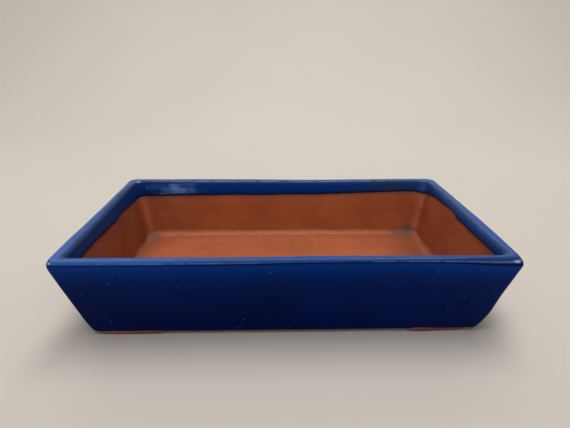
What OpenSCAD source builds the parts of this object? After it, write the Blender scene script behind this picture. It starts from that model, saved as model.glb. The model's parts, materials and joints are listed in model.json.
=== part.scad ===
// Shallow rectangular bonsai pot, slab built in red clay, glazed outside, over the rim and a little way down inside.
// +X runs along the length, -Y is the front, +Z is up, and z = 0 is the plane that the four feet stand on.

/* [Rim] */
// Outside length of the rim, along X
rim_length = 208; // [160:1:320]
// Outside depth of the rim, along Y
rim_depth = 123; // [90:1:200]
// Glazed thickness of the rim
rim_thickness = 6.8; // [5.5:0.1:9]
// Rounding of the rim's outer edge
outer_edge_r = 1.4; // [1:0.1:1.8]
// Rounding of the rim's inner edge
inner_edge_r = 2.2; // [1:0.1:2.6]

/* [Tray] */
// Height from the underside of the floor slab to the top of the rim
tray_height = 42.2; // [30:0.1:70]
// How far the outside leans in on each side, from the rim to the underside
outer_batter = 10.8; // [6:0.1:12]
// How far the inside leans in on each side, from the rim to the floor
inner_batter = 7.8; // [5:0.1:9]
// Thickness of the floor slab
floor_thickness = 6.5; // [4:0.1:8]
// Rounding of the upright outer corners
corner_r = 2.5; // [2:0.1:5]
// Rounding of the outside bottom edge
base_edge_r = 1.5; // [1:0.1:3]

/* [Seams] */
// Radius to which the clay coils in the inner seams are smoothed
seam_r = 3; // [2:0.1:4]

/* [Glaze] */
// Thickness of the glaze
glaze_thickness = 0.5; // [0.3:0.1:0.8]
// How far the glaze runs down inside, from the top of the rim
glaze_band = 8; // [5:0.1:14]

/* [Feet] */
// Length of a foot, along X
foot_length = 30; // [18:1:40]
// Width of a foot, along Y
foot_width = 16; // [10:1:24]
// Height of a foot
foot_height = 1.7; // [1.5:0.1:6]
// Distance from the tray's end to the foot, at the underside
foot_end_gap = 6.2; // [5:0.1:14]
// Distance from the tray's long side to the foot, at the underside
foot_side_gap = 0.2; // [0.2:0.1:8]

/* [Drainage] */
// Diameter of a drainage hole
drain_diameter = 16; // [8:1:24]
// Distance between the centres of the two drainage holes
drain_spacing = 100; // [60:1:110]

/* [Hidden] */

clay_colour = [0.62, 0.30, 0.18];
seam_colour = [0.68, 0.36, 0.25];
glaze_colour = [0.01, 0.13, 0.35];

// Sides of the tray, in the order in which they follow the corners counter-clockwise from +X +Y
BACK = 0;
LEFT = 1;
FRONT = 2;
RIGHT = 3;

corner_steps = 8;      // straight stretches in the quarter turn of an upright corner
arc_steps = 6;         // straight stretches in the rounding of an edge
butt_r = 0.5;          // inner corner radius where two wall slabs meet, under the coil
trim = 0.02;           // how far the smoothing tool passes behind the wall's face
foot_corner_r = 4;     // rounding of a foot's upright corners
coil_corner = 9;       // length along each wall of a corner coil's foot
glaze_step = 4;        // stretch of the bottom edge's rounding at which the glaze begins
over = 1;              // overshoot of cutting bodies

rim_z = foot_height + tray_height;
floor_z = foot_height + floor_thickness;
band_z = rim_z - glaze_band;
outer_lean = atan(outer_batter / tray_height);
inner_lean = atan(inner_batter / (rim_z - floor_z));

// Inset of the finished outer and inner faces from the rim's outline, at a height
function outer_inset(z) = (rim_z - z) * tan(outer_lean);
function inner_inset(z) = rim_thickness + (rim_z - z) * tan(inner_lean);

// Centres of the rounded edges, as [inset, height]
base_z = foot_height + base_edge_r - glaze_thickness;
base_centre = [outer_inset(base_z) + base_edge_r / cos(outer_lean), base_z];
rim_outer_centre = [outer_inset(rim_z - outer_edge_r) + outer_edge_r / cos(outer_lean), rim_z - outer_edge_r];
rim_inner_centre = [inner_inset(rim_z - inner_edge_r) - inner_edge_r / cos(inner_lean), rim_z - inner_edge_r];

// A profile is a list of stations, each [inset, height, radius of the upright corners].
// Each of these takes the depth below the finished surface: 0 is the glaze's face and glaze_thickness the clay's.
function arc(centre, r, from, to, first_step = 0) =
    [for (i = [first_step:arc_steps]) let (a = from + (to - from) * i / arc_steps) centre + r * [cos(a), sin(a)]];
function with_radius(points, r) = [for (p = points) [p.x, p.y, r]];
function base_edge(depth, first_step) =
    with_radius(arc(base_centre, base_edge_r - depth, 270, 180 + outer_lean, first_step), corner_r - depth);
function rim_edges(depth) = concat(
    with_radius(arc(rim_outer_centre, outer_edge_r - depth, 180 + outer_lean, 90), corner_r - depth),
    with_radius(arc(rim_inner_centre, inner_edge_r - depth, 90, inner_lean), seam_r - glaze_thickness + depth));
function outer_face(z, depth) = [outer_inset(z) + depth / cos(outer_lean), z, corner_r - depth];
function inner_face(z, depth, r) = [inner_inset(z) - depth / cos(inner_lean), z, r];
function reversed(list) = [for (i = [len(list) - 1:-1:0]) list[i]];

floor_profile = concat(base_edge(glaze_thickness, 0), [outer_face(floor_z, glaze_thickness)]);
wall_profile = concat([outer_face(floor_z, glaze_thickness)], rim_edges(glaze_thickness),
    [inner_face(band_z, glaze_thickness, seam_r), inner_face(floor_z, glaze_thickness, butt_r)]);
glaze_profile = concat(
    base_edge(0, glaze_step), rim_edges(0), [inner_face(band_z, 0, seam_r - glaze_thickness)],
    [inner_face(band_z, glaze_thickness, seam_r)], reversed(rim_edges(glaze_thickness)),
    reversed(base_edge(glaze_thickness, glaze_step)));

// Points of a rounded rectangle's corner, numbered counter-clockwise from +X +Y, between two steps of its arc
function corner_points(hx, hy, r, z, corner, first, last) =
    let (sx = (corner % 4 == 0 || corner % 4 == 3) ? 1 : -1, sy = corner % 4 < 2 ? 1 : -1)
    [for (step = [first:last]) let (a = 90 * (corner + step / corner_steps))
        [sx * (hx - r) + r * cos(a), sy * (hy - r) + r * sin(a), z]];
function rectangle_ring(hx, hy, r, z) =
    [for (corner = [0:3]) each corner_points(hx, hy, r, z, corner, 0, corner_steps)];
function station_ring(s) = rectangle_ring(rim_length / 2 - s[0], rim_depth / 2 - s[0], s[2], s[1]);
// The stretch of a station's ring that belongs to one side, from corner middle to corner middle
function station_side(s, side) =
    let (hx = rim_length / 2 - s[0], hy = rim_depth / 2 - s[0], middle = corner_steps / 2)
    concat(corner_points(hx, hy, s[2], s[1], side, middle, corner_steps),
        corner_points(hx, hy, s[2], s[1], side + 1, 0, middle));

// Skins rows of points. A loop of rows is a closed profile, and a loop of columns goes all the way round.
module loft(rows, row_loop, column_loop) {
    m = len(rows);
    n = len(rows[0]);
    quads = [for (i = [0:m - (row_loop ? 1 : 2)]) for (j = [0:n - (column_loop ? 1 : 2)])
        let (below = i * n, above = (i + 1) % m * n, next = (j + 1) % n)
        [below + j, above + j, above + next, below + next]];
    row_caps = row_loop ? [] : [[for (j = [0:n - 1]) j], [for (j = [n - 1:-1:0]) (m - 1) * n + j]];
    column_caps = column_loop ? [] : [[for (i = [m - 1:-1:0]) i * n], [for (i = [0:m - 1]) i * n + n - 1]];
    polyhedron(points = [for (row = rows) each row], faces = concat(quads, row_caps, column_caps), convexity = 6);
}

// A solid whose rings are stacked upwards, a closed ring of one profile, and one side's stretch of such a ring
module stacked(profile) {
    loft([for (s = profile) station_ring(s)], row_loop = false, column_loop = true);
}
module ringed(profile) {
    loft([for (s = profile) station_ring(s)], row_loop = true, column_loop = true);
}
module one_side(profile, side) {
    loft([for (s = profile) station_side(s, side)], row_loop = true, column_loop = false);
}

module floor_slab() {
    color(clay_colour)
    difference() {
        stacked(floor_profile);
        for (x = [-1, 1])
            translate([x * drain_spacing / 2, 0, foot_height - over])
            cylinder(h = floor_thickness + 2 * over, d = drain_diameter, $fn = 64);
    }
}

module wall(side) {
    color(clay_colour) one_side(wall_profile, side);
}

// The clay left in the inner seams below the glaze once a coil has been smoothed in
module seam_fillet() {
    smoothing = arc([inner_inset(floor_z + seam_r) + seam_r / cos(inner_lean), floor_z + seam_r], seam_r,
        270, 180 + inner_lean);
    shift = (glaze_thickness + trim) / cos(inner_lean);
    difference() {
        stacked([inner_face(floor_z, glaze_thickness, butt_r), inner_face(band_z, glaze_thickness, seam_r)]);
        translate([0, 0, -trim])
        stacked(concat([for (p = smoothing) [p.x - shift, p.y, seam_r]],
            [inner_face(rim_z, glaze_thickness + trim, seam_r)]));
    }
}

// The box round the inside corner at one end of both seams
module corner_box(x, y) {
    reach = inner_inset(floor_z) + coil_corner;
    translate([x > 0 ? rim_length / 2 - reach : -rim_length / 2, y > 0 ? rim_depth / 2 - reach : -rim_depth / 2, 0])
    cube([reach, reach, rim_z]);
}

module corner_coil(x, y) {
    color(seam_colour)
    intersection() {
        seam_fillet();
        corner_box(x, y);
    }
}

// The stretch of floor seam along one wall, between the corner coils
module floor_coil(side) {
    across = side == FRONT || side == BACK;
    reach = inner_inset(floor_z) + coil_corner;
    long = (across ? rim_length : rim_depth) - 2 * reach;
    color(seam_colour)
    intersection() {
        seam_fillet();
        rotate(90 * side)
        translate([-long / 2, (across ? rim_depth : rim_length) / 2 - reach, 0])
        cube([long, reach, floor_z + seam_r + over]);
    }
}

// A rounded rectangle of even thickness, standing on z = 0
module rounded_pad(length, width, height, r) {
    linear_extrude(height) {
        square([length - 2 * r, width], center = true);
        square([length, width - 2 * r], center = true);
        for (x = [-1, 1]) for (y = [-1, 1])
            translate([x * (length / 2 - r), y * (width / 2 - r)]) circle(r, $fn = 48);
    }
}

module foot(x, y) {
    color(clay_colour)
    translate([x * (rim_length / 2 - outer_batter - foot_end_gap - foot_length / 2),
        y * (rim_depth / 2 - outer_batter - foot_side_gap - foot_width / 2), 0])
    rounded_pad(foot_length, foot_width, foot_height, foot_corner_r);
}

module glaze_coat() {
    color(glaze_colour) ringed(glaze_profile);
}

floor_slab();
wall(FRONT);  // wall_front
wall(BACK);  // wall_back
wall(LEFT);  // wall_left
wall(RIGHT);  // wall_right
corner_coil(-1, -1);  // corner_coil_front_left
corner_coil(1, -1);  // corner_coil_front_right
corner_coil(-1, 1);  // corner_coil_back_left
corner_coil(1, 1);  // corner_coil_back_right
floor_coil(FRONT);  // floor_coil_front
floor_coil(BACK);  // floor_coil_back
floor_coil(LEFT);  // floor_coil_left
floor_coil(RIGHT);  // floor_coil_right
foot(-1, -1);  // foot_front_left
foot(1, -1);  // foot_front_right
foot(-1, 1);  // foot_back_left
foot(1, 1);  // foot_back_right
glaze_coat();
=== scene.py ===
"""The looks of a slab-built bonsai pot: cobalt glaze outside and over the rim, bare red clay inside.

Lengths are in millimetres until a mesh is made. Everything is in the CAD model's frame.
"""
import json
import math
from types import SimpleNamespace

import bmesh
import bpy
import numpy as np
from mathutils import Matrix, Vector


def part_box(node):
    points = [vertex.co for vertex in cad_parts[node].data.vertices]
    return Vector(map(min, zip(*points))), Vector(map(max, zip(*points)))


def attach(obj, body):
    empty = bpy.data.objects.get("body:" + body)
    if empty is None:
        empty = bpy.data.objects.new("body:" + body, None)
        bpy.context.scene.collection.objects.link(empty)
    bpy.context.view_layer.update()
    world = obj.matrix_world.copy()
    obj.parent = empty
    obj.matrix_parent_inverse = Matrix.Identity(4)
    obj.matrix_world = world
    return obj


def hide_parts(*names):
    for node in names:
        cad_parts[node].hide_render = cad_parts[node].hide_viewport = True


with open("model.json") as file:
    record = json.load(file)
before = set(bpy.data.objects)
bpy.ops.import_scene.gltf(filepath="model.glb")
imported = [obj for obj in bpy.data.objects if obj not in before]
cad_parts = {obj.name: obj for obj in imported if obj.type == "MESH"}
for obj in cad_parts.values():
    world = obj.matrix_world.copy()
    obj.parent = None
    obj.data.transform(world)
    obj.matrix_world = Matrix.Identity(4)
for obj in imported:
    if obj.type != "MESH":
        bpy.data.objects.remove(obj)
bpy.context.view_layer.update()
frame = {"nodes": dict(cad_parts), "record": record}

MM = 0.001
glaze_high = np.array(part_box("glaze_coat")[1]) / MM
slab_low, slab_high = (np.array(corner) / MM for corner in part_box("floor_slab"))
foot_boxes = {name: [np.array(corner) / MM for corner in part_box(name)]
              for name in frame["nodes"] if "foot" in name}

# The tray. The rim's outline is that of its sharp corners, before its edges are rounded.
TOP_ROOM = 0.45      # between the flat rim and the solids' top, for the slabs' warp
END_ROOM = 0.5       # the same at the ends
SHARP_Y = 0.2        # how far the sharp outline passes the solids in front, where the rounded edge stays in
RIM_Z = glaze_high[2] - TOP_ROOM
FLOOR_Z = slab_high[2]
BASE_Z = slab_low[2]
HALF_X = glaze_high[0] - END_ROOM
HALF_Y = glaze_high[1] + SHARP_Y
OUTER_LEAN = math.radians(14.3)
GLAZE = 0.5          # how thick the glaze is
EMBED = 0.2          # how far a hidden face lies inside its neighbour


# ---------------------------------------------------------------- columns round the pot
# Columns run anticlockwise from the front left corner: front, right, back and left side, each followed by its
# corner. A column is known by the arc centre that it belongs to (plan_x and plan_y, from -1 to 1), by the
# direction in which its side or corner looks, and by its lap: the number of sides passed so far.

SIDES = ("front", "right", "back", "left")
FRONT, BACK = 0, 2
CORNERS = [(-1, -1), (1, -1), (1, 1), (-1, 1)]
COLUMN_STEP = 1.2
CORNER_COLUMNS = 16
CORNER_LAP = 0.03    # how much of a lap half a corner takes


def make_columns():
    plan_x, plan_y, look, lap, starts = [], [], [], [], []
    for side in range(4):
        length = 2 * (HALF_X if side in (FRONT, BACK) else HALF_Y)
        count = 2 * round(length / COLUMN_STEP / 2)
        here, there = CORNERS[side], CORNERS[(side + 1) % 4]
        angle = math.pi / 2 * (side - 1)
        starts.append(len(lap))
        for i in range(count):
            t = i / count
            plan_x.append(here[0] + (there[0] - here[0]) * t)
            plan_y.append(here[1] + (there[1] - here[1]) * t)
            look.append(angle)
            lap.append(side + CORNER_LAP + (1 - 2 * CORNER_LAP) * t)
        for i in range(CORNER_COLUMNS):
            t = i / CORNER_COLUMNS
            plan_x.append(there[0])
            plan_y.append(there[1])
            look.append(angle + math.pi / 2 * t)
            lap.append(side + 1 + CORNER_LAP * (2 * t - 1))
    return (np.array(values) for values in (plan_x, plan_y, look, lap, starts))


plan_x, plan_y, look, lap, side_start = make_columns()
COLUMNS = len(lap)
side_end = np.append(side_start[1:], COLUMNS) - CORNER_COLUMNS


def span(first, last):
    """Column numbers from first to last, round the start if need be."""
    return np.arange(first, last + 1) % COLUMNS


def around(front, right, back, left, blur=7):
    """One value for each column, from values spaced evenly along each side, blended over blur columns."""
    knots, values = [], []
    for side, given in enumerate((front, right, back, left)):
        for i, value in enumerate(given):
            knots.append(side + (i + 0.5) / len(given))
            values.append(value)
    result = np.interp(lap, knots, values, period=4)
    reach = np.arange(-3 * blur, 3 * blur + 1)
    weight = np.exp(-0.5 * (reach / blur) ** 2)
    return sum(w * np.roll(result, -r) for r, w in zip(reach, weight)) / weight.sum()


def peak(place, before, after=None):
    """1 at one lap, falling away within about that many laps before it and after it."""
    off = (lap - place + 2) % 4 - 2
    return np.exp(-(off / np.where(off < 0, before, after or before)) ** 2)


def waves(points, length, seed):
    """A smooth random height, mostly between -1 and 1, whose swells are about length apart."""
    count = 8
    random = np.random.default_rng(seed)
    total = np.zeros(points.shape[:-1])
    for _ in range(count):
        direction = random.normal(size=3)
        direction *= 2 * math.pi / length * random.uniform(0.6, 1.5) / np.linalg.norm(direction)
        total += np.sin(points @ direction + random.uniform(0, 2 * math.pi))
    return total / (0.4 * count)


END_BOW = 0.35       # how far the rim's ends have bowed to the right
SIDE_SWAY = 0.15     # how far the rim's long sides wave to the front and back


def warp(points):
    """Moves points as the slabs moved in drying and firing: nothing at the floor, most at the rim."""
    x, y, z = points[..., 0], points[..., 1], points[..., 2]
    share = np.clip((z - FLOOR_Z) / (RIM_Z - FLOOR_Z), 0, 1)
    front = np.clip(0.5 - 0.5 * y / HALF_Y, 0, 1) ** 2
    back = np.clip(0.5 + 0.5 * y / HALF_Y, 0, 1) ** 2
    # The front rim steps up at x = -7 and sinks again to the right of x = 15. The back rim sags round x = 20.
    front_rise = 0.19 + 0.14 * np.tanh((x + 7) / 7) - 0.0024 * np.clip(x - 15, 0, None)
    back_rise = 0.30 - 0.80 * np.exp(-((x - 20) / 50) ** 2)
    moved = points.copy()
    moved[..., 0] += END_BOW * share * np.cos(math.pi / 2 * y / HALF_Y)
    moved[..., 1] += SIDE_SWAY * share * np.sin(3 * x / HALF_X) * np.cos(math.pi / 2 * x / HALF_X)
    moved[..., 2] += share * (front * front_rise + back * back_rise)
    return moved


# ---------------------------------------------------------------- profiles
# A station is one place on the pot's cross-section, for every column at once: its inset from the rim's
# outline, its height, the angle of the surface's normal (0 looks inwards, 90 degrees up, 180 outwards), its
# corners' radius in plan, and its depth below the finished surface.

rim_thickness = around([6.1, 6.1, 6.2, 6.0, 6.0], [7.0, 6.8, 6.5], [6.6, 6.6, 6.5], [5.6, 5.7, 5.9, 6.3])
inner_slope = around([0.22, 0.22], [0.228, 0.236], [0.18, 0.175, 0.185], [0.285, 0.275, 0.265])
inner_lean = np.arctan(inner_slope)
outer_edge_r = around([1.7, 1.7, 1.7, 1.6, 1.4, 1.2, 1.1, 1.1, 3.3], [2.2, 1.7, 2.0, 2.2],
                      [2.2, 1.7, 1.8, 2.4], [2.4, 2.0, 1.8, 1.3])
inner_edge_r = around([2.3, 2.2, 2.1, 2.1], [2.7, 3.0], [2.3, 2.3], [3.0, 2.9])
base_edge_r = around([2.0, 1.2, 1.2, 1.2, 1.2, 1.3, 1.9], [1.9, 1.6, 1.5, 1.5], [1.6, 1.4, 1.5],
                     [1.5, 1.4, 1.4, 2.0])

# How far down the glaze reaches inside the rim. On the right there is a step in its edge.
band_depth = around([6.8, 6.9, 6.5, 6.0, 4.8], [4.0, 3.7, 3.85, 3.4, 3.3, 3.7, 4.0, 4.5],
                    [6.2, 6.8, 7.3, 7.9, 8.15, 8.25, 8.65, 8.85],
                    [8.6, 8.3, 7.2, 7.75, 7.3, 6.5, 6.1, 6.3], blur=4)
band_step = 0.75 * np.tanh((1.52 - lap) / 0.015) * peak(1.52, 0.2)
band_depth += 1.5 * peak(2, 0.10, 0.035) + 0.3 * peak(3, 0.03) + band_step

wall_corner_r = around([1.6, 1.8, 2.2], [2.2, 3.0], [3.2, 3.0], [2.8, 1.6])
rim_corner_r = around([5.8, 4.0, 8.5], [8.5, 5.0], [5.0, 5.0], [5.0, 5.8])
base_corner_r = around([3.4, 3.4, 4.2], [4.2, 4.5], [4.5, 4.5], [4.5, 3.4])

# The inside corners once their seams are smoothed, under the glaze and then at the floor, where the back left
# one is rounder.
clay_corner_r = around([2.8, 5.0], [5.5, 7.0], [7.5, 6.8], [6.6, 2.8])
low_corner_r = around([2.8, 4.0], [4.2, 4.4], [4.4, 4.0], [4.0, 2.8])
low_corner_r += 4.8 * peak(3, 0.12)
glaze_corner_r = clay_corner_r - GLAZE

belly = around([0.0, 0.0, 0.0, 0.35], [0.45, 0.2], [0.0], [0.0, 0.0])    # how far the outside swells low down
BELLY_Z, BELLY_REACH = 12, 7     # the height where it swells most, and how far above and below that
RIM_FLARE = 4.5      # how far below the rim its corners begin to get rounder
BASE_FLARE = 9.0     # the same above the base


def outer_inset(z):
    return (RIM_Z - z) * math.tan(OUTER_LEAN) - belly * np.exp(-((z - BELLY_Z) / BELLY_REACH) ** 2)


def inner_inset(z):
    return rim_thickness + (RIM_Z - z) * inner_slope


def corner_r(z):
    """Plan radius of the outer corners, which are rounder at the rim and close to the ground."""
    high = np.clip((z - RIM_Z + RIM_FLARE) / RIM_FLARE, 0, 1) ** 2
    low = np.clip((BASE_Z + BASE_FLARE - z) / BASE_FLARE, 0, 1) ** 2
    return wall_corner_r + (rim_corner_r - wall_corner_r) * high + (base_corner_r - wall_corner_r) * low


def station(inset, z, normal, radius, depth=0.0):
    return [value + np.zeros(COLUMNS) for value in (inset, z, normal, radius, depth)]


def arc(inset, z, r, start, end, steps, radius):
    """Stations along a rounded edge whose centre is at inset and z. The radius may depend on the height."""
    stations = []
    for a in np.linspace(start, end, steps + 1):
        here = z + r * np.sin(a)
        plan_r = radius(here) if callable(radius) else radius
        stations.append(station(inset + r * np.cos(a), here, a, plan_r))
    return stations


def between(a, b, steps):
    """Stations on the straight line from one station to another, without its ends."""
    return [[(1 - t) * p + t * q for p, q in zip(a, b)] for t in np.arange(1, steps) / steps]


def at_depth(stations, depth):
    """The same stations, all at one depth."""
    return [[inset, z, normal, radius, depth] for inset, z, normal, radius, _ in stations]


def surface(stations):
    """Rows of points and of their normals, one row for each station."""
    rows, normals = [], []
    for inset, z, normal, radius, depth in stations:
        inwards = np.cos(normal)
        r = radius + depth * inwards
        reach = inset - depth * inwards + r
        rows.append(np.stack([plan_x * (HALF_X - reach) + r * np.cos(look),
                              plan_y * (HALF_Y - reach) + r * np.sin(look), z - depth * np.sin(normal)], -1))
        normals.append(np.stack([-inwards * np.cos(look), -inwards * np.sin(look), np.sin(normal)], -1))
    return np.array(rows), np.array(normals)


def base_edge(start, steps):
    """The rounded edge between the underside and the outer wall, from the angle start."""
    base_z = BASE_Z + base_edge_r - GLAZE
    return arc(outer_inset(base_z) + base_edge_r / math.cos(OUTER_LEAN), base_z, base_edge_r, start,
               math.pi + OUTER_LEAN, steps, corner_r)


# ---------------------------------------------------------------- meshes

SHARP_ANGLE = math.radians(40)


def make_piece(name, points, faces, material, nodes, attributes=None, merge=0.0):
    """A closed mesh that stands for CAD nodes. Points are in millimetres."""
    mesh = bpy.data.meshes.new(name)
    mesh.from_pydata((points * MM).tolist(), [], faces)
    for key, values in (attributes or {}).items():
        layer = mesh.attributes.new(key, "FLOAT", "POINT")
        layer.data.foreach_set("value", np.asarray(values, np.float32).ravel())
    mesh.polygons.foreach_set("use_smooth", [True] * len(mesh.polygons))
    piece = bpy.data.objects.new(name, mesh)
    bpy.context.scene.collection.objects.link(piece)
    work = bmesh.new()
    work.from_mesh(mesh)
    if merge:
        bmesh.ops.remove_doubles(work, verts=work.verts, dist=merge * MM)
    bmesh.ops.recalc_face_normals(work, faces=work.faces)
    work.to_mesh(mesh)
    work.free()
    mesh.set_sharp_from_angle(angle=SHARP_ANGLE)
    mesh.materials.append(material)
    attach(piece, "root")
    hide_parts(*nodes)
    return piece


def grid_faces(rows, columns, loop_rows, loop_columns):
    """Quads over a grid of points, numbered row by row."""
    faces = []
    for i in range(rows if loop_rows else rows - 1):
        for j in range(columns if loop_columns else columns - 1):
            a, b = i * columns, (i + 1) % rows * columns
            k = (j + 1) % columns
            faces.append((a + j, a + k, b + k, b + j))
    return faces


def closed_grid(name, rows, material, nodes, loop_columns, attributes=None):
    """A closed mesh from rows of points that loop round a profile. Open ends of the columns get caps."""
    m, n = rows.shape[:2]
    faces = grid_faces(m, n, True, loop_columns)
    if not loop_columns:
        faces += [tuple(i * n for i in range(m)), tuple(i * n + n - 1 for i in range(m))]
    return make_piece(name, rows.reshape(-1, 3), faces, material, nodes, attributes)


def only_used(faces):
    """The numbers of the points that faces use, and the faces with those points numbered from 0."""
    used = sorted({k for face in faces for k in face})
    number = {k: i for i, k in enumerate(used)}
    return used, [tuple(number[k] for k in face) for face in faces]


def shell(name, points, used, back, material, nodes, attributes):
    """A closed mesh from the used cells of a grid: that surface, the same moved by back, and edges."""
    m, n = points.shape[:2]
    count = m * n
    cells = [(i, j) for i in range(m - 1) for j in range(n - 1) if used[i, j]]
    faces, edges = [], {}
    for i, j in cells:
        quad = (i * n + j, i * n + j + 1, (i + 1) * n + j + 1, (i + 1) * n + j)
        faces += [quad, tuple(k + count for k in reversed(quad))]
        for a, b in zip(quad, quad[1:] + quad[:1]):
            if (b, a) in edges:
                del edges[(b, a)]
            else:
                edges[(a, b)] = True
    faces += [(b, a, a + count, b + count) for a, b in edges]
    every = np.concatenate([points.reshape(-1, 3), (points + back).reshape(-1, 3)])
    kept, faces = only_used(faces)
    values = {key: np.concatenate([v.ravel(), v.ravel()])[kept] for key, v in attributes.items()}
    return make_piece(name, every[kept], faces, material, nodes, values)


# ---------------------------------------------------------------- shader nodes

def new_material(name):
    material = bpy.data.materials.new(name)
    material.use_nodes = True
    tree = material.node_tree
    shader = tree.nodes["Principled BSDF"]
    place = tree.nodes.new("ShaderNodeTexCoord").outputs["Object"]
    return material, tree, shader, place


def put(tree, value, socket):
    if isinstance(value, bpy.types.NodeSocket):
        tree.links.new(value, socket)
    elif isinstance(value, (tuple, list)) and socket.type == "RGBA":
        socket.default_value = (*value, 1.0)
    else:
        socket.default_value = value


def calc(tree, operation, *values, clamp=False):
    node = tree.nodes.new("ShaderNodeMath")
    node.operation = operation
    node.use_clamp = clamp
    for value, socket in zip(values, node.inputs):
        put(tree, value, socket)
    return node.outputs[0]


def vector_calc(tree, operation, *values):
    node = tree.nodes.new("ShaderNodeVectorMath")
    node.operation = operation
    for value, socket in zip(values, node.inputs):
        put(tree, value, socket)
    return node.outputs["Value" if operation == "LENGTH" else "Vector"]


def noise(tree, place, size, detail=3.0, roughness=0.5, distortion=0.0):
    """Noise from 0 to 1 whose patches are about size millimetres across."""
    node = tree.nodes.new("ShaderNodeTexNoise")
    put(tree, place, node.inputs["Vector"])
    node.inputs["Scale"].default_value = 1 / (size * MM)
    node.inputs["Detail"].default_value = detail
    node.inputs["Roughness"].default_value = roughness
    node.inputs["Distortion"].default_value = distortion
    return node.outputs["Fac"]


def spots(tree, place, size, radius, share):
    """1 on round spots of that radius, in a share of the cells of that size."""
    node = tree.nodes.new("ShaderNodeTexVoronoi")
    put(tree, place, node.inputs["Vector"])
    node.inputs["Scale"].default_value = 1 / (size * MM)
    near = ramp(tree, node.outputs["Distance"], radius / size, 0.5 * radius / size)
    parts = tree.nodes.new("ShaderNodeSeparateColor")
    put(tree, node.outputs["Color"], parts.inputs[0])
    return calc(tree, "MULTIPLY", near, calc(tree, "LESS_THAN", parts.outputs[0], share))


def ramp(tree, value, low, high):
    """0 at low, 1 at high and smooth between. Low may be above high."""
    node = tree.nodes.new("ShaderNodeMapRange")
    node.interpolation_type = "SMOOTHSTEP"
    put(tree, value, node.inputs["Value"])
    node.inputs["From Min"].default_value = low
    node.inputs["From Max"].default_value = high
    return node.outputs["Result"]


def mix(tree, share, a, b, blend="MIX"):
    node = tree.nodes.new("ShaderNodeMix")
    node.data_type = "RGBA"
    node.blend_type = blend
    put(tree, share, node.inputs["Factor"])
    put(tree, a, node.inputs["A"])
    put(tree, b, node.inputs["B"])
    return node.outputs["Result"]


def attribute(tree, name):
    node = tree.nodes.new("ShaderNodeAttribute")
    node.attribute_name = name
    return node.outputs["Fac"]


def bump(tree, height, depth, normal=None):
    """Height from 0 to 1 stands for depth millimetres."""
    node = tree.nodes.new("ShaderNodeBump")
    put(tree, height, node.inputs["Height"])
    node.inputs["Distance"].default_value = depth * MM
    if normal:
        put(tree, normal, node.inputs["Normal"])
    return node.outputs["Normal"]


# ---------------------------------------------------------------- materials

# The thinner and clearer glass colours are partly painted reflection and painted light, slate is partly a
# painted grey reflection, the pale line colour is partly a painted highlight and the glint colour is a
# painted highlight.
DEEP_GLASS, FULL_GLASS, CLEAR_GLASS_AND_PAINTED_LIGHT = (0.0001, 0.0042, 0.050), (0.0002, 0.0060, 0.080), (0.0004, 0.034, 0.235)
THIN_GLASS_AND_REFLECTION, SLATE, RUBBED_AND_HIGHLIGHT_LINE = (0.026, 0.092, 0.320), (0.022, 0.038, 0.082), (0.150, 0.205, 0.345)
GLINT, POOLED, PINHOLE = (0.360, 0.420, 0.540), (0.010, 0.008, 0.014), (0.06, 0.16, 0.36)
GLAZE_SPECULAR_TINT = (0.35, 0.6, 1.0)


def glaze_material():
    """Cobalt glass: deepest where it is thick, lighter at the rim, and slate where it thins over the edge.
    The rim's lighter blue and parts of the slate are partly painted reflection, the pale lines on the rim are
    partly painted highlights and its bright spots are painted highlights.
    """
    material, tree, shader, place = new_material("cobalt_glaze")
    cloud = noise(tree, place, 40, detail=2)
    fine = noise(tree, place, 2.4, detail=3)
    colour = mix(tree, ramp(tree, cloud, 0.30, 0.70), DEEP_GLASS, FULL_GLASS)
    uneven = calc(tree, "ADD", 0.85, calc(tree, "MULTIPLY", fine, 0.3))
    # The lighter glass near and over the rim is partly painted reflection and painted light.
    for name, lighter in (("clear_and_painted_light", CLEAR_GLASS_AND_PAINTED_LIGHT), ("thin_and_reflection", THIN_GLASS_AND_REFLECTION)):
        share = calc(tree, "MULTIPLY", attribute(tree, name), uneven, clamp=True)
        colour = mix(tree, share, colour, lighter)
    ragged = ramp(tree, noise(tree, place, 5, detail=3), 0.1, 0.6)
    # Slate where the glaze breaks over the edge, partly a painted grey reflection, also on the back rim's
    # flat top.
    colour = mix(tree, calc(tree, "MULTIPLY", attribute(tree, "slate_break_and_reflection"), ragged), colour, SLATE)
    streaky = ramp(tree, noise(tree, place, 6, detail=4), 0.30, 0.55)
    # Pale lines on the rim, partly worn glaze and partly painted highlights.
    colour = mix(tree, calc(tree, "MULTIPLY", attribute(tree, "rubbed_and_highlight"), streaky), colour, RUBBED_AND_HIGHLIGHT_LINE)
    # Painted highlights on three corners and a painted reflection on the left rim's outer edge.
    colour = mix(tree, attribute(tree, "glint"), colour, GLINT)
    colour = mix(tree, attribute(tree, "pool"), colour, POOLED)
    pinholes = spots(tree, place, size=7, radius=0.5, share=0.9)
    colour = mix(tree, calc(tree, "MULTIPLY", pinholes, 0.55), colour, PINHOLE)
    put(tree, colour, shader.inputs["Base Color"])
    worn = ramp(tree, noise(tree, place, 9, detail=5, distortion=0.6), 0.45, 0.7)
    rough = calc(tree, "ADD", 0.09, calc(tree, "MULTIPLY", worn, 0.16))
    rough = calc(tree, "ADD", rough, calc(tree, "MULTIPLY", pinholes, 0.3))
    put(tree, rough, shader.inputs["Roughness"])
    shader.inputs["IOR"].default_value = 1.14
    put(tree, GLAZE_SPECULAR_TINT, shader.inputs["Specular Tint"])
    swell = bump(tree, noise(tree, place, 7, detail=2), 0.03)
    peel = bump(tree, noise(tree, place, 0.9, detail=2), 0.006, swell)
    pitted = bump(tree, calc(tree, "SUBTRACT", 1.0, pinholes), 0.05, peel)
    put(tree, pitted, shader.inputs["Normal"])
    return material


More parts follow.
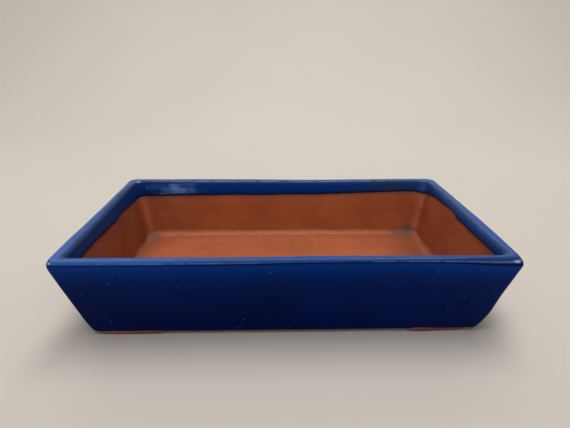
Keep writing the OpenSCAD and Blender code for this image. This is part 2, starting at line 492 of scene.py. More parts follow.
WALL_CLAY = (0.420, 0.103, 0.026), (0.350, 0.078, 0.016), (0.430, 0.134, 0.057)     # plain, dark and dusty
FLOOR_CLAY = (0.440, 0.109, 0.037), (0.392, 0.089, 0.026), (0.462, 0.140, 0.067)
FOOT_CLAY = (0.230, 0.075, 0.045), (0.130, 0.045, 0.030), (0.330, 0.130, 0.085)
# The smoothed corners' pale colour is partly paler clay and partly a painted highlight.
SMOOTHED_SEAM_AND_HIGHLIGHT, PALE_GRIT = (0.540, 0.212, 0.130), (0.62, 0.36, 0.24)
STAIN, DIRT = (0.105, 0.062, 0.058), (0.130, 0.088, 0.058)
# Painted shade: the first darkens the walls' clay, most on the left wall; the second darkens the floor near
# the side walls.
SHADED, NEAR_WALL_SHADE = (0.53, 0.35, 0.10), (0.60, 0.57, 0.50)        # what the clay's colour is multiplied by

DIRT_PATCHES = [  # centre, half size along x, y and z, and strength of the dirt that settled in the corners
    ((-84.8, 41.2, 9.0), (4.2, 7.0, 3.4), 0.70),
    ((84.4, 47.0, 10.6), (4.4, 7.0, 4.4), 0.80),
    ((80.0, 48.0, 9.2), (8.0, 4.5, 2.6), 0.65),
]


def dirt_mask(tree, place):
    cloud = noise(tree, place, 3.2, detail=5, roughness=0.65)
    ragged = calc(tree, "MULTIPLY", calc(tree, "SUBTRACT", cloud, 0.5), 1.5)
    total = None
    for centre, size, strength in DIRT_PATCHES:
        moved = vector_calc(tree, "SUBTRACT", place, [c * MM for c in centre])
        scaled = vector_calc(tree, "DIVIDE", moved, [s * MM for s in size])
        reach = calc(tree, "ADD", vector_calc(tree, "LENGTH", scaled), ragged)
        near = calc(tree, "MULTIPLY", ramp(tree, reach, 1.45, 0.30), strength)
        total = near if total is None else calc(tree, "MAXIMUM", total, near)
    return total


def clay_material(name, colours, seam=False, walls=False, near_wall_shade=False):
    """Bare red clay: mottled, dusty in places, with grit, a fine grain and dirt in the floor's corners. It
    may also carry a pale line that is partly a painted highlight, and painted shade on the walls and on the
    floor near the side walls.
    """
    plain, dark, dusty = colours
    material, tree, shader, place = new_material(name)
    broad = noise(tree, place, 26, detail=3)
    patch = noise(tree, place, 8, detail=5, roughness=0.6)
    grain = noise(tree, place, 0.7, detail=4, roughness=0.7)

    def smeared(attribute_name):
        streaks = ramp(tree, noise(tree, place, 3, detail=3), 0.15, 0.6)
        return calc(tree, "MULTIPLY", attribute(tree, attribute_name), streaks)

    colour = mix(tree, ramp(tree, broad, 0.35, 0.7), plain, dark)
    colour = mix(tree, calc(tree, "MULTIPLY", ramp(tree, patch, 0.50, 0.74), 0.55), colour, dusty)
    if seam:
        # A pale line on the corners and fillets: partly paler smoothed clay and partly a painted highlight.
        colour = mix(tree, smeared("seam"), colour, SMOOTHED_SEAM_AND_HIGHLIGHT)
    dark_grit = spots(tree, place, size=3.4, radius=0.26, share=0.30)
    colour = mix(tree, calc(tree, "MULTIPLY", dark_grit, 0.5), colour, [c * 0.45 for c in plain])
    pale_grit = spots(tree, place, size=9.0, radius=0.40, share=0.70)
    colour = mix(tree, calc(tree, "MULTIPLY", pale_grit, 0.6), colour, PALE_GRIT)
    tone = calc(tree, "ADD", 0.86, calc(tree, "MULTIPLY", grain, 0.28))
    grey = tree.nodes.new("ShaderNodeCombineColor")
    for socket in grey.inputs:
        put(tree, tone, socket)
    colour = mix(tree, 1.0, colour, grey.outputs[0], "MULTIPLY")
    if walls:
        # Painted shade on the walls.
        shaded = mix(tree, 1.0, colour, SHADED, "MULTIPLY")
        colour = mix(tree, attribute(tree, "shade"), colour, shaded)
        colour = mix(tree, smeared("stain"), colour, STAIN)
    if near_wall_shade:
        # Painted shade on the floor near the side walls.
        shaded_floor = mix(tree, 1.0, colour, NEAR_WALL_SHADE, "MULTIPLY")
        colour = mix(tree, attribute(tree, "near_wall_shade"), colour, shaded_floor)
    dirt = dirt_mask(tree, place)
    put(tree, mix(tree, dirt, colour, DIRT), shader.inputs["Base Color"])
    put(tree, calc(tree, "ADD", 0.66, calc(tree, "MULTIPLY", patch, 0.24)), shader.inputs["Roughness"])
    shader.inputs["IOR"].default_value = 1.45
    uneven = bump(tree, patch, 0.10)
    grainy = bump(tree, grain, 0.045, uneven)
    crust = calc(tree, "ADD", dirt, calc(tree, "MULTIPLY", grain, dirt))
    put(tree, bump(tree, crust, 0.18, grainy), shader.inputs["Normal"])
    return material


glaze = glaze_material()
red_clay = clay_material("red_clay", WALL_CLAY, walls=True)
floor_clay = clay_material("red_clay_floor", FLOOR_CLAY, near_wall_shade=True)
seam_clay = clay_material("seam_clay", WALL_CLAY, seam=True, walls=True, near_wall_shade=True)
foot_clay = clay_material("foot_clay", FOOT_CLAY)


# ---------------------------------------------------------------- glaze

LOWER_END = math.radians(228)    # where the glaze ends on the rounded edge at the base
BASE_STEPS, WALL_STEPS, EDGE_STEPS, TOP_STEPS, BAND_STEPS = 9, 36, 13, 6, 9
END_ROWS = 5         # rows of the lower end that turn in to the clay
LIP_ROWS = 9         # rows of the lip that turn in to the clay
LIP_HEIGHT = 0.9
LIP_SWELL = 0.14     # how much thicker the glaze is at its lip
HIDDEN_STEP = 4      # the glaze's back has a row for every fourth row of its front


def turned_in(t, swell=0.0):
    """Depth on a quarter round that starts swell above the surface and ends inside the clay."""
    return (GLAZE + EMBED + swell) * (1 - math.sqrt(1 - t * t)) - swell


def glaze_front():
    """The glaze's parts from its lower end up the outside, over the rim and down to its lip inside."""
    base = base_edge(LOWER_END, BASE_STEPS)
    lower_end = [[inset, z, normal, radius, turned_in(1 - t)]
                 for t, (inset, z, normal, radius, _) in zip(np.linspace(0, 1, END_ROWS), base[:END_ROWS])]
    edge_z = RIM_Z - outer_edge_r
    outer = arc(outer_inset(edge_z) + outer_edge_r / math.cos(OUTER_LEAN), edge_z, outer_edge_r,
                math.pi + OUTER_LEAN, math.pi / 2, EDGE_STEPS, corner_r)
    edge_z = RIM_Z - inner_edge_r
    inner = arc(inner_inset(edge_z) - inner_edge_r / np.cos(inner_lean), edge_z, inner_edge_r, math.pi / 2,
                inner_lean, EDGE_STEPS, glaze_corner_r)
    wobble = 0.15 * np.sin(23 * lap + 2 * np.sin(7 * lap)) * np.sin(3.1 * lap) ** 2
    lip_z = RIM_Z - band_depth - wobble
    lip = station(inner_inset(lip_z), lip_z, inner_lean, glaze_corner_r)
    wall = [[outer_inset(z), z, normal, corner_r(z), depth]
            for _, z, normal, _, depth in between(base[-1], outer[0], WALL_STEPS)]
    top = between(outer[-1], inner[0], TOP_STEPS)
    down = [[inset, z, normal, radius, depth - LIP_SWELL * ((i + 1) / (BAND_STEPS - 1)) ** 3]
            for i, (inset, z, normal, radius, depth) in enumerate(between(inner[-1], lip, BAND_STEPS))]
    turned = []
    for t in np.linspace(0, 1, LIP_ROWS):
        z = lip_z - LIP_HEIGHT * t
        turned.append(station(inner_inset(z), z, inner_lean, glaze_corner_r, turned_in(t, LIP_SWELL)))
    return [lower_end + base[END_ROWS:], wall, outer, top, inner, down, turned]


def glass_depth(first, count):
    """How much thinner and lighter the glass is over the rim, and how much clearer below its edge and inside,
    from 0 to 1. Both are partly painted reflection and painted light.
    """
    wall, outer, top, inner, down, turned, _ = first
    thin_and_reflection, clear_and_painted_light = np.zeros((2, count, COLUMNS))

    # Over the rim, lighter partly as thinner glass and partly as a painted reflection of the bright
    # surroundings. Along the middle and the right of the front, its outer edge stays darker, a painted dark
    # reflection under the painted highlight line.
    light = around([1.0, 1.0, 1.0, 0.85, 0.66, 0.76, 0.80, 0.68, 0.58, 0.60, 0.55, 0.52],
                   [0.9, 1.0, 1.0, 0.95], [0.9, 0.85, 0.85, 0.9], [1.0, 1.0, 1.0], blur=5)
    lined = around([0.0, 0.0, 0.1, 0.6, 1.0, 1.0, 1.0, 1.0, 1.0, 1.0, 1.0, 1.0], [0.6, 0.3, 0.3], [0.3],
                   [0.2, 0.2, 0.0], blur=5)
    soft_edge = np.array([0.08, 0.05, 0.10, 0.35, 0.65, 0.85, 0.95, 1.0, 1.0, 1.0, 1.0, 1.0, 1.0, 1.0])
    line_edge = np.array([0.02, 0.0, 0.0, 0.0, 0.15, 0.40, 0.50, 0.50, 0.52, 0.60, 0.72, 0.85, 0.95, 1.0])
    thin_and_reflection[outer:top] = light * (soft_edge[:, None] + (line_edge - soft_edge)[:, None] * lined)
    thin_and_reflection[top:inner] = light
    inner_end = around([0.3], [0.42, 0.45, 0.45], [0.30, 0.12, 0.10, 0.12], [0.2])
    fall = np.linspace(0, 1, down - inner)[:, None]
    thin_and_reflection[inner:down] = light + (inner_end - light) * np.clip(1.6 * fall - 0.15, 0, 1)
    # Painted highlight: a lighter streak down the inside of the back right corner.
    streak = 0.75 * peak(2, 0.011, 0.014)
    fall = np.linspace(0, 1, turned + 3 - down)[:, None]
    thin_and_reflection[down:turned + 3] = inner_end * (1 - fall) + streak * (1 - 0.4 * fall)
    thin_and_reflection[inner + 6:down] = np.maximum(thin_and_reflection[inner + 6:down], streak)

    # Down the outside and the inside. Lighter near the rim, partly as clearer glass and partly as painted
    # light; over the outer edge it fades into the painted dark line.
    below_rim = np.linspace(1, 0, outer - wall + 1)[:-1, None]
    clear_and_painted_light[wall:outer] = np.clip(1.1 * np.exp(-below_rim / 0.15), 0, 1)
    clear_and_painted_light[outer:outer + 2] = np.array([0.75, 0.25])[:, None]
    inside = around([0.6], [0.9, 1.0, 0.95], [0.55, 0.8, 0.95, 0.95, 0.9, 0.7], [0.45, 0.35, 0.35])
    clear_and_painted_light[inner:down] = inside
    clear_and_painted_light[down:turned + 3] = inside * (1 - 0.55 * fall)
    return thin_and_reflection, clear_and_painted_light


def worn_places(first, count):
    """Where the glaze turns slate, partly where it breaks over the edge and partly as a painted grey
    reflection; where it has pale lines, partly worn and partly painted highlights; and where it is brightest,
    with painted glints, each from 0 to 1.
    """
    _, outer, top, inner, down, turned, _ = first
    slate_break_and_reflection, rubbed_and_highlight, glint = np.zeros((3, count, COLUMNS))

    # The rim's inner edge and the glaze inside it: slate where the glaze breaks over the edge, partly a
    # painted grey reflection. On the back rim the slate starts on the flat top, a painted reflection of the
    # pale surroundings.
    share = around([0.4, 0.3], [0.8, 1.0, 1.0, 0.9], [0.9, 0.9, 1.0, 1.0, 0.9], [1.0, 1.0, 1.0, 1.0])
    early = around([0.0], [0.0, 0.3], [0.8, 0.9, 0.9, 0.8], [0.3, 0.0])
    turn = np.linspace(0, 1, down - inner)[:, None]
    slate_break_and_reflection[inner:down] = share * np.clip(5 * turn - 0.6 + 1.2 * early, 0, 1) * np.clip(5.2 - 6 * turn, 0, 1)
    slate_break_and_reflection[top + 3:inner] = 0.8 * early
    slate_break_and_reflection[down:turned] = around([0.0], [0.0, 0.15, 0.35, 0.5], [0.3, 0.0, 0.0, 0.0], [0.30, 0.45, 0.45])
    # A painted grey reflection in the glaze inside the back rim, near its right corner.
    slate_break_and_reflection[inner + 2:turned] = np.maximum(slate_break_and_reflection[inner + 2:turned], peak(2.105, 0.06, 0.07))

    # Painted highlights, partly worn glaze: a pale line along the front edge and one along the back rim's
    # inner edge, and a painted reflection in a patch below that.
    line = around([0.1, 0.25, 0.35, 0.5, 0.7, 0.4, 0.2, 0.2, 0.8, 0.9, 0.6, 0.6], [0.5, 0.4, 0.4],
                  [0.4, 0.4, 0.4], [0.4, 0.3, 0.2], blur=4)
    for row, amount in ((4, 0.15), (5, 0.8), (6, 0.65), (7, 0.1)):
        rubbed_and_highlight[outer + row] = amount * line
    rubbed_and_highlight[inner + 2:inner + 7] = around([0.0], [0.0, 0.1], [0.45, 0.65, 0.65, 0.65], [0.1, 0.0])
    rubbed_and_highlight[inner + 7:inner + 10] = 0.5 * peak(2.78, 0.12, 0.14)

    # Painted highlights: bright spots on three of the rim's corners, and a paler outer edge at the left, a
    # painted reflection.
    glint[outer + 5:outer + 7] = peak(0.984, 0.012, 0.010)
    glint[outer + 4:outer + 7] += peak(0.006, 0.006)
    glint[inner + 6:inner + 9] = peak(2.994, 0.007)
    outer_edge = np.array([0.2, 0.5, 0.8, 1.0, 1.0, 1.0, 0.8, 0.5, 0.2])
    paler = around([0.0], [0.05, 0.05, 0.10, 0.10], [0.10], [0.30, 0.24, 0.17, 0.08], blur=5)
    glint[top - 6:top + 3] += outer_edge[:, None] * paler
    return slate_break_and_reflection, rubbed_and_highlight, glint


def pooled_glaze(first, count):
    """Where the glaze has gathered dark, at its lip and its lower end, from 0 to 1."""
    turned, end = first[-2:]
    pool = np.zeros((count, COLUMNS))
    pool[turned - 2:turned + 3] = np.linspace(0.1, 0.7, 5)[:, None]
    pool[turned + 3:end] = np.linspace(0.8, 1, LIP_ROWS - 3)[:, None]
    pool[:3] = np.array([1.0, 0.8, 0.4])[:, None]
    return pool


def glaze_coat():
    """The coat over the outside and the rim and a little way down inside, with its back in the clay."""
    parts = glaze_front()
    first = np.cumsum([len(part) for part in parts])     # where each part but the first starts, and the end
    front = sum(parts, [])
    back = at_depth(front[len(front) - LIP_ROWS:END_ROWS - 1:-HIDDEN_STEP], GLAZE + EMBED)
    rows, normals = surface(front + back)
    ripple = 0.05 * waves(rows, 34, 11) + 0.014 * waves(rows, 11, 12)
    ripple[len(front):] = 0
    rows += normals * ripple[..., None]
    thin_and_reflection, clear_and_painted_light = glass_depth(first, len(rows))
    slate_break_and_reflection, rubbed_and_highlight, glint = worn_places(first, len(rows))
    closed_grid("glaze_coat_fired", warp(rows), glaze, ["glaze_coat"], True,
                {"thin_and_reflection": thin_and_reflection, "clear_and_painted_light": clear_and_painted_light, "slate_break_and_reflection": slate_break_and_reflection, "rubbed_and_highlight": rubbed_and_highlight, "glint": glint,
                 "pool": pooled_glaze(first, len(rows))})


# ---------------------------------------------------------------- clay walls

CLAY_TOP = 2.5       # how far below the rim the clay's sides end, inside the glaze
CREST = 0.8          # the same for its crest
BACK_DEPTH = GLAZE + 0.1
WALL_ROWS = 32
SLAB_CORNER_R = 0.6  # where two slabs meet behind a seam

# Painted shade: how much darker each wall's clay is drawn, most on the left wall and least in the middle of
# the back wall.
wall_shade = around([0.65, 0.35, 0.55], [0.48, 0.47, 0.22], [0.28, 0.18, 0.06, 0.06, 0.10, 0.25, 0.5],
                    [0.80, 1.0, 1.0, 1.0], blur=4)
stain_reach = around([1.3], [0.8, 0.8], [1.2, 1.2, 1.5], [2.2, 1.5])


def lip_stain(below, reach):
    """How dark the clay is at a distance below the glaze's lip, from 0 to 1."""
    return 0.75 * np.exp(-np.clip((below - 0.9) / reach, 0, None) ** 2)


def clay_walls():
    """Each wall runs from corner middle to corner middle, with its back and top inside the glaze."""
    top_z, low_z = RIM_Z - CLAY_TOP, FLOOR_Z - EMBED
    band_z = RIM_Z - band_depth
    hidden = [station(outer_inset(z), z, math.pi + OUTER_LEAN, corner_r(z), BACK_DEPTH)
              for z in (FLOOR_Z, (FLOOR_Z + RIM_Z) / 2, top_z)]
    hidden.append(station(rim_thickness * 0.5, RIM_Z - CREST, math.pi / 2, corner_r(RIM_Z)))
    seen = []
    for z in np.linspace(top_z, low_z, WALL_ROWS):
        # Close under the glaze the slabs' corners become about as round as the glaze's.
        radius = SLAB_CORNER_R + (clay_corner_r - 1.0) * np.clip((z - band_z + 2.5) / 2.0, 0, 1)
        seen.append(station(inner_inset(z), z, inner_lean, radius, GLAZE))
    rows, normals = surface(hidden + seen)
    rough = 0.10 * waves(rows, 30, 21) + 0.035 * waves(rows, 8, 22)
    rough[:len(hidden)] = 0
    rows = warp(rows + normals * rough[..., None])
    stain = lip_stain(np.array([band_z - s[1] for s in hidden + seen]), stain_reach)
    shade = np.tile(wall_shade, (len(rows), 1))
    half = CORNER_COLUMNS // 2
    for side, name in enumerate(SIDES):
        part = span(side_start[side] - half, side_end[side] + half)
        closed_grid(f"wall_{name}_slab", rows[:, part], red_clay, [f"wall_{name}"], False,
                    {"shade": shade[:, part], "stain": stain[:, part]})


# ---------------------------------------------------------------- seams

COIL_PROUD = 0.05    # how far the coils stand out of the clay
COIL_DIVE = 0.16     # how far their edges lie inside it
COIL_BACK = 0.6      # how thick they are
COIL_RUN = 0.9       # how far they run out over the floor
COIL_TUCK = 0.8      # how far they run up behind the glaze
COIL_LEGS = 8        # how many columns a corner's coil runs along each side
FILLET_ROWS, UPRIGHT_STEPS = 13, 23
# The fillets' pale line is partly paler smoothed clay and partly a painted highlight, palest at the back.
FILLET_SEAM_HIGHLIGHT = (0.2, 0.4, 0.75, 0.2)      # how pale each side's fillet is

# The floor's painted shade near the side walls.
FLOOR_END = 85.0     # where the flat part of the floor ends, at the left and at the right
LEFT_SHADE_REACH, RIGHT_SHADE_REACH = 7, 21            # how far from there the clay is darker


def shade_near_walls(points):
    """Painted shade near the side walls: how dark the clay is towards the left and right ends of the floor,
    from 0 to 1.
    """
    left = np.clip(FLOOR_END + points[..., 0], 0, None)
    right = np.clip(FLOOR_END - points[..., 0], 0, None)
    return np.exp(-left / LEFT_SHADE_REACH) + np.exp(-(right / RIGHT_SHADE_REACH) ** 2)


def coil_stations(band_z):
    """From the floor up the fillet, and up the wall to the glaze."""
    fillet_r = around([2.6, 2.9, 2.7], [4.2, 4.4], [3.2, 3.3, 3.5, 3.2, 3.6], [4.2, 4.8, 4.6])
    centre = inner_inset(FLOOR_Z + fillet_r) + (fillet_r - GLAZE) / np.cos(inner_lean)
    floor_run = station(centre + COIL_RUN, FLOOR_Z - COIL_DIVE, math.pi / 2, low_corner_r)
    fillet = []
    for a in np.linspace(1.5 * math.pi, math.pi + inner_lean, FILLET_ROWS):
        fillet.append(station(centre + (fillet_r - COIL_PROUD) * np.cos(a),
                              FLOOR_Z + fillet_r + (fillet_r - COIL_PROUD) * np.sin(a), a - math.pi,
                              low_corner_r))
    upright = []
    for t in np.linspace(0, 1, UPRIGHT_STEPS + 1)[1:]:
        z = fillet[-1][1] * (1 - t) + (band_z + COIL_TUCK) * t
        radius = low_corner_r + (clay_corner_r - low_corner_r) * t ** 2
        upright.append(station(inner_inset(z), z, inner_lean, radius, GLAZE - COIL_PROUD))
    return [floor_run] + fillet + upright


def coil_shell(name, points, facing, used, low, attributes):
    """One coil's piece. Its points dive into the clay where low is 1."""
    points = points - facing * (low * (COIL_DIVE + COIL_PROUD))[..., None]
    shell(f"{name}_smoothed", warp(points), used, -COIL_BACK * facing, seam_clay, [name],
          attributes)


def corner_coil(coil, corner, name):
    """The coil up one corner, with the fillet's turn at its foot."""
    turn_start = side_end[(corner - 1) % 4]
    part = span(turn_start - COIL_LEGS, turn_start + CORNER_COLUMNS + COIL_LEGS)
    first, last = COIL_LEGS - 1, COIL_LEGS + CORNER_COLUMNS + 1
    low = np.zeros((len(coil.stations), len(part)))
    low[coil.rows, :first + 1] = low[coil.rows, last:] = 1
    low[coil.rows:, first] = low[coil.rows:, last] = 1
    used = np.zeros((len(coil.stations) - 1, len(part) - 1), bool)
    used[:coil.rows, :] = True
    used[coil.rows:, first:last] = True

    count = np.arange(len(part)) - (len(part) - 1) / 2       # columns from the seam
    half = CORNER_COLUMNS / 2
    arc_step = np.array([[s[3][turn_start]] for s in coil.stations]) * math.pi / 2 / CORNER_COLUMNS
    across = np.clip(np.abs(count), 0, half) * arc_step
    across = across + np.clip(np.abs(count) - half, 0, None) * COLUMN_STEP
    below = np.stack([(coil.band_z - s[1])[part] for s in coil.stations])
    # The pale line up each corner is partly paler smoothed clay and partly a painted highlight.
    width = 2.0 if name == "back_right" else 1.5     # of the pale line up the seam
    line = 0.30 * np.exp(-(across / width / 1.6) ** 2) + 0.45 * np.exp(-(across / width / 0.6) ** 2)
    seam = line * np.clip(0.3 + below / 4, 0, 1)
    turn = np.clip((count + half) / CORNER_COLUMNS, 0, 1)
    before, after = FILLET_SEAM_HIGHLIGHT[(corner - 1) % 4], FILLET_SEAM_HIGHLIGHT[corner]
    seam[:coil.rows] = (before + (after - before) * turn) * coil.share[:, None]
    coil_shell(f"corner_coil_{name}", coil.points[:, part], coil.facing[:, part], used, low,
               {"seam": seam * (1 - low), "stain": lip_stain(below, stain_reach[part]),
                "shade": coil.shade[:, part], "near_wall_shade": coil.near_wall_shade[:, part]})


def floor_coil(coil, side, name):
    """The fillet along one side of the floor, between two corners' coils."""
    part = span(side_start[side] + COIL_LEGS, side_end[side] - COIL_LEGS)
    rows = slice(0, coil.rows + 1)
    low = np.zeros((coil.rows + 1, len(part)))
    low[-1] = 1
    seam = np.zeros(low.shape)
    seam[:coil.rows] = FILLET_SEAM_HIGHLIGHT[side] * coil.share[:, None]
    coil_shell(f"floor_coil_{name}", coil.points[rows, part], coil.facing[rows, part],
               np.ones((coil.rows, len(part) - 1), bool), low,
               {"seam": seam, "shade": coil.shade[rows, part], "near_wall_shade": coil.near_wall_shade[rows, part]})


def seam_coils():
    """Smoothed coils: a fillet round the floor's edge, and one up each corner as far as the glaze."""
    band_z = RIM_Z - band_depth
    stations = coil_stations(band_z)
    points, facing = surface(stations)
    smear = 0.06 * waves(points, 9, 31) + 0.03 * waves(points, 3.5, 32)
    points += facing * smear[..., None]
    rows = FILLET_ROWS + 1
    rise = np.clip(np.arange(len(stations)) / rows, 0, 1)[:, None]
    coil = SimpleNamespace(stations=stations, points=points, facing=facing, rows=rows, band_z=band_z,
                           share=np.sqrt(np.sin(np.linspace(0, math.pi, rows))),
                           shade=wall_shade * rise, near_wall_shade=shade_near_walls(points) * (1 - rise))
    for corner, name in enumerate(("front_left", "front_right", "back_right", "back_left")):
        corner_coil(coil, corner, name)
    for side, name in enumerate(SIDES):
        floor_coil(coil, side, name)


# ---------------------------------------------------------------- floor

HOLE_LIP_R = 0.9     # the rounding of the holes' upper edge
HOLE_CHAMFER = 0.4   # on their lower edge
SLAB_DEPTH = GLAZE + 0.02        # how far the slab's side lies below the finished surface
RAY_STEPS, UNDER_STEPS, MIDDLE_STEPS = 46, 14, 48


def ray_rows(outline, centre, z, steps, first_r):
    """Rows of points at one height, from a circle round the centre out to the outline."""
    ray = outline - centre
    ray[:, 2] = 0
    far = np.linalg.norm(ray, axis=1, keepdims=True)
    return [centre + ray / far * (first_r + (far - first_r) * t) + [0, 0, z]
            for t in np.linspace(0, 1, steps + 1)]


def floor_half(sign, edge, hole_x, hole_r):
    """Points and faces of the floor's right half (sign 1) or left half (sign -1), open on the middle line."""
    middle = np.linspace(edge[:, -1], edge[:, 0], MIDDLE_STEPS + 1, axis=1)[:, 1:-1]
    rim = np.concatenate([edge, middle], axis=1) * [sign, 1, 1]
    columns = rim.shape[1]
    centre = np.array([sign * hole_x, 0, 0])
    unit = (rim[-1] - centre) * [1, 1, 0]
    unit /= np.linalg.norm(unit, axis=1, keepdims=True)
    lip = []
    for a in np.linspace(0, math.pi / 2, 6)[:-1]:
        r, z = hole_r + HOLE_LIP_R * (1 - math.cos(a)), FLOOR_Z - HOLE_LIP_R * (1 - math.sin(a))
        lip.append(centre + unit * r + [0, 0, z])
    upper = ray_rows(rim[-1], centre, FLOOR_Z, RAY_STEPS, hole_r + HOLE_LIP_R)
    lower = ray_rows(rim[0], centre, BASE_Z, UNDER_STEPS, hole_r + HOLE_CHAMFER)[::-1]
    bore = [centre + unit * hole_r + [0, 0, z] for z in (BASE_Z + HOLE_CHAMFER, (BASE_Z + FLOOR_Z) / 2)]
    side = list(rim[::-1][1:-1])
    grid = np.array(lip + upper + side + lower + bore)
    seen = slice(len(lip), len(lip) + len(upper))
    grid[seen, :, 2] += 0.11 * waves(grid[seen], 28, 41) + 0.035 * waves(grid[seen], 7, 42)

    inner_first = len(lip) + len(upper) - 1
    inner_last = inner_first + len(side) + 1
    low = edge.shape[1] - 1
    kept = []
    for face in grid_faces(len(grid), columns, True, True):
        on_side = all(inner_first <= k // columns <= inner_last for k in face)
        on_middle = all(k % columns >= low or k % columns == 0 for k in face)
        if not (on_side and on_middle):
            kept.append(face if sign > 0 else face[::-1])
    return grid.reshape(-1, 3), kept


def floor_slab():
    """The floor in two halves, each of rays from its drainage hole to its edge, joined on the middle line."""
    hole = next(m for m in frame["record"]["mounts"] if m["kind"] == "bore")
    hole_r = hole["dims"]["r_mm"]
    hole_x = abs(hole["pos_m"][0]) / MM
    top = station(outer_inset(FLOOR_Z), FLOOR_Z, math.pi + OUTER_LEAN, corner_r(FLOOR_Z))
    edge, _ = surface(at_depth(base_edge(1.5 * math.pi, 8) + [top], SLAB_DEPTH))
    right = np.roll(np.arange(COLUMNS), -(side_end[FRONT] // 2))[:COLUMNS // 2 + 1]
    edge = edge[:, right[edge[0, right, 0] > -1e-6]]
    (right_points, right_faces), (left_points, left_faces) = (floor_half(sign, edge, hole_x, hole_r)
                                                              for sign in (1, -1))
    count = len(right_points)
    used, faces = only_used(right_faces + [tuple(k + count for k in face) for face in left_faces])
    points = np.concatenate([right_points, left_points])[used]
    above = points[:, 2] > BASE_Z + 1
    make_piece("floor_slab_pierced", points, faces, floor_clay, ["floor_slab"],
               {"near_wall_shade": shade_near_walls(points) * above}, merge=0.002)


# ---------------------------------------------------------------- feet

FOOT_SHAPES = {  # how much shorter than its solid at its outer and inner end, and its turn in degrees
    "foot_front_left": (-2.6, -0.6, -0.3),
    "foot_front_right": (1.2, -0.3, 2.0),
    "foot_back_left": (1.4, 0.9, 0.6),
    "foot_back_right": (0.8, 1.6, -0.8),
}
FOOT_PROFILE = [  # how far inside the foot's outline each row lies, and its height
    (0.9, 0.0), (0.45, 0.08), (0.15, 0.30), (0.0, 0.7), (-0.05, 1.2), (-0.08, 1.9), (0.0, 2.4), (0.5, 2.65)]
FOOT_OUTWARDS = 0.15     # how far each foot passes its solid at the front or back
FOOT_POWER = 2 / 7       # of the superellipse that is its outline
FOOT_POINTS = 120


def foot(name, low, high):
    """A low pad with rounded ends. Its outer side comes up over the bottom edge, where it was pressed on."""
    turn = np.linspace(0, 2 * math.pi, FOOT_POINTS + 1)[:-1]
    outer_trim, inner_trim, yaw = FOOT_SHAPES[name]
    sx, sy = np.sign(low[0] + high[0]), np.sign(low[1] + high[1])
    ends = sorted([sx * (max(abs(low[0]), abs(high[0])) - outer_trim),
                   sx * (min(abs(low[0]), abs(high[0])) + inner_trim)])
    sides = sorted([sy * (max(abs(low[1]), abs(high[1])) + FOOT_OUTWARDS),
                    sy * min(abs(low[1]), abs(high[1]))])
    half = np.array([ends[1] - ends[0], sides[1] - sides[0]]) / 2
    centre = np.array([sum(ends), sum(sides)]) / 2
    a = math.radians(yaw)
    rows = []
    for shrink, z in [(half[1] * 0.5, 0.0)] + FOOT_PROFILE:
        x = (half[0] - shrink) * np.sign(np.cos(turn)) * np.abs(np.cos(turn)) ** FOOT_POWER
        y = (half[1] - shrink) * np.sign(np.sin(turn)) * np.abs(np.sin(turn)) ** FOOT_POWER
        rows.append(np.stack([centre[0] + x * math.cos(a) - y * math.sin(a),
                              centre[1] + x * math.sin(a) + y * math.cos(a), z + 0 * x], -1))
    rows = np.array(rows)
    push = 0.10 * waves(rows, 12, 51)
    rows[2:, :, 0] += push[2:] * np.cos(turn)
    rows[2:, :, 1] += push[2:] * np.sin(turn) * 0.5
    m, n = rows.shape[:2]
    faces = grid_faces(m, n, False, True) + [tuple(range(n)), tuple((m - 1) * n + i for i in range(n))]
    make_piece(name + "_pad", rows.reshape(-1, 3), faces, foot_clay, [name])


glaze_coat()
clay_walls()
seam_coils()
floor_slab()
for foot_name, (foot_low, foot_high) in foot_boxes.items():
    foot(foot_name, foot_low, foot_high)


# ---------------------------------------------------------------- stage, light and camera, in metres

STAGE_NEAR, STAGE_FAR, STAGE_TOP, STAGE_HALF = -0.75, 0.45, 2.2, 3.5
SWEEP_R = 0.5


def stage():
    """A pale floor that sweeps up into a pale wall behind the pot."""
    material, tree, shader, place = new_material("pale_stage")
    tone = noise(tree, place, 300, detail=2)
    put(tree, mix(tree, tone, (0.60, 0.555, 0.50), (0.65, 0.60, 0.545)), shader.inputs["Base Color"])
    shader.inputs["Roughness"].default_value = 0.8
    shader.inputs["Specular IOR Level"].default_value = 0.2
    profile = [(STAGE_NEAR, 0.0), (STAGE_FAR, 0.0)]
    profile += [(STAGE_FAR + SWEEP_R * math.sin(a), SWEEP_R - SWEEP_R * math.cos(a))
                for a in np.linspace(0, math.pi / 2, 25)[1:]]
    profile.append((STAGE_FAR + SWEEP_R, STAGE_TOP))
    points = [(x, y, z) for y, z in profile for x in (-STAGE_HALF, STAGE_HALF)]
    mesh = bpy.data.meshes.new("pale_stage")
    mesh.from_pydata(points, [], grid_faces(len(profile), 2, False, False))
    mesh.polygons.foreach_set("use_smooth", [True] * len(mesh.polygons))
    mesh.materials.append(material)
    sweep = bpy.data.objects.new("pale_stage", mesh)
    bpy.context.scene.collection.objects.link(sweep)


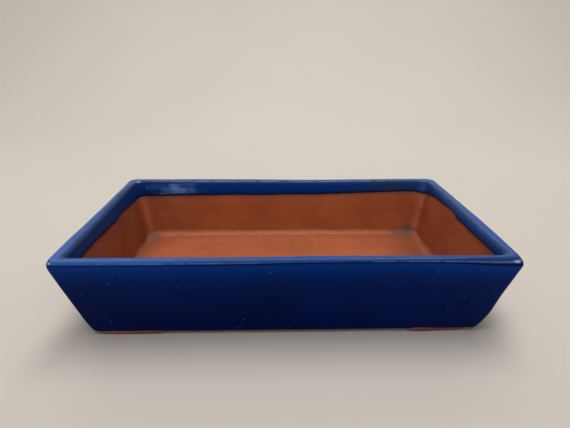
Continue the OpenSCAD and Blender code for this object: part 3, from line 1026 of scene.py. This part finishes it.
def area_light(name, place, target, size, power, colour=(1.0, 1.0, 1.0)):
    data = bpy.data.lights.new(name, "AREA")
    data.shape = "RECTANGLE"
    data.size, data.size_y = size
    data.energy = power
    data.color = colour
    lamp = bpy.data.objects.new(name, data)
    lamp.location = place
    lamp.rotation_euler = (Vector(target) - Vector(place)).to_track_quat("-Z", "Y").to_euler()
    bpy.context.scene.collection.objects.link(lamp)


def lights():
    world = bpy.data.worlds.new("soft_room")
    bpy.context.scene.world = world
    world.use_nodes = True
    background = world.node_tree.nodes["Background"]
    background.inputs["Color"].default_value = (0.30, 0.31, 0.34, 1.0)
    background.inputs["Strength"].default_value = 0.35
    warm, cool = (1.0, 0.98, 0.95), (0.95, 0.98, 1.0)
    area_light("overhead", place=(-0.02, -0.05, 1.3), target=(0.0, 0.0, 0.0), size=(0.5, 1.6), power=15,
               colour=warm)
    area_light("back_panel", place=(0.0, 0.90, 0.62), target=(0.0, 0.0, 0.04), size=(2.4, 0.60), power=6.0)
    area_light("window", place=(-0.555, -2.1, 0.30), target=(-0.05, 0.0, 0.03), size=(0.15, 0.18), power=4.0,
               colour=cool)
    area_light("skylight", place=(0.25, -2.0, 0.95), target=(0.05, 0.0, 0.03), size=(1.36, 0.08), power=6.0,
               colour=cool)


EYE = (-0.0069, -0.2281, RIM_Z * MM + 0.0866)
PAN, TILT, ROLL = math.radians(-1.70), math.radians(-21.26), math.radians(-0.40)


def camera():
    """The viewing angle: from the front, a little left of the middle, looking down by 21 degrees."""
    data = bpy.data.cameras.new("camera")
    data.sensor_width = 36
    data.lens = 28.1
    eye = bpy.data.objects.new("camera", data)
    turn = (Matrix.Rotation(PAN, 4, "Z") @ Matrix.Rotation(TILT, 4, "X") @ Matrix.Rotation(ROLL, 4, "Y")
            @ Matrix.Rotation(math.radians(90), 4, "X"))
    eye.matrix_world = Matrix.Translation(EYE) @ turn
    bpy.context.scene.collection.objects.link(eye)
    bpy.context.scene.camera = eye


stage()
lights()
camera()
bpy.context.scene.view_settings.view_transform = "Standard"
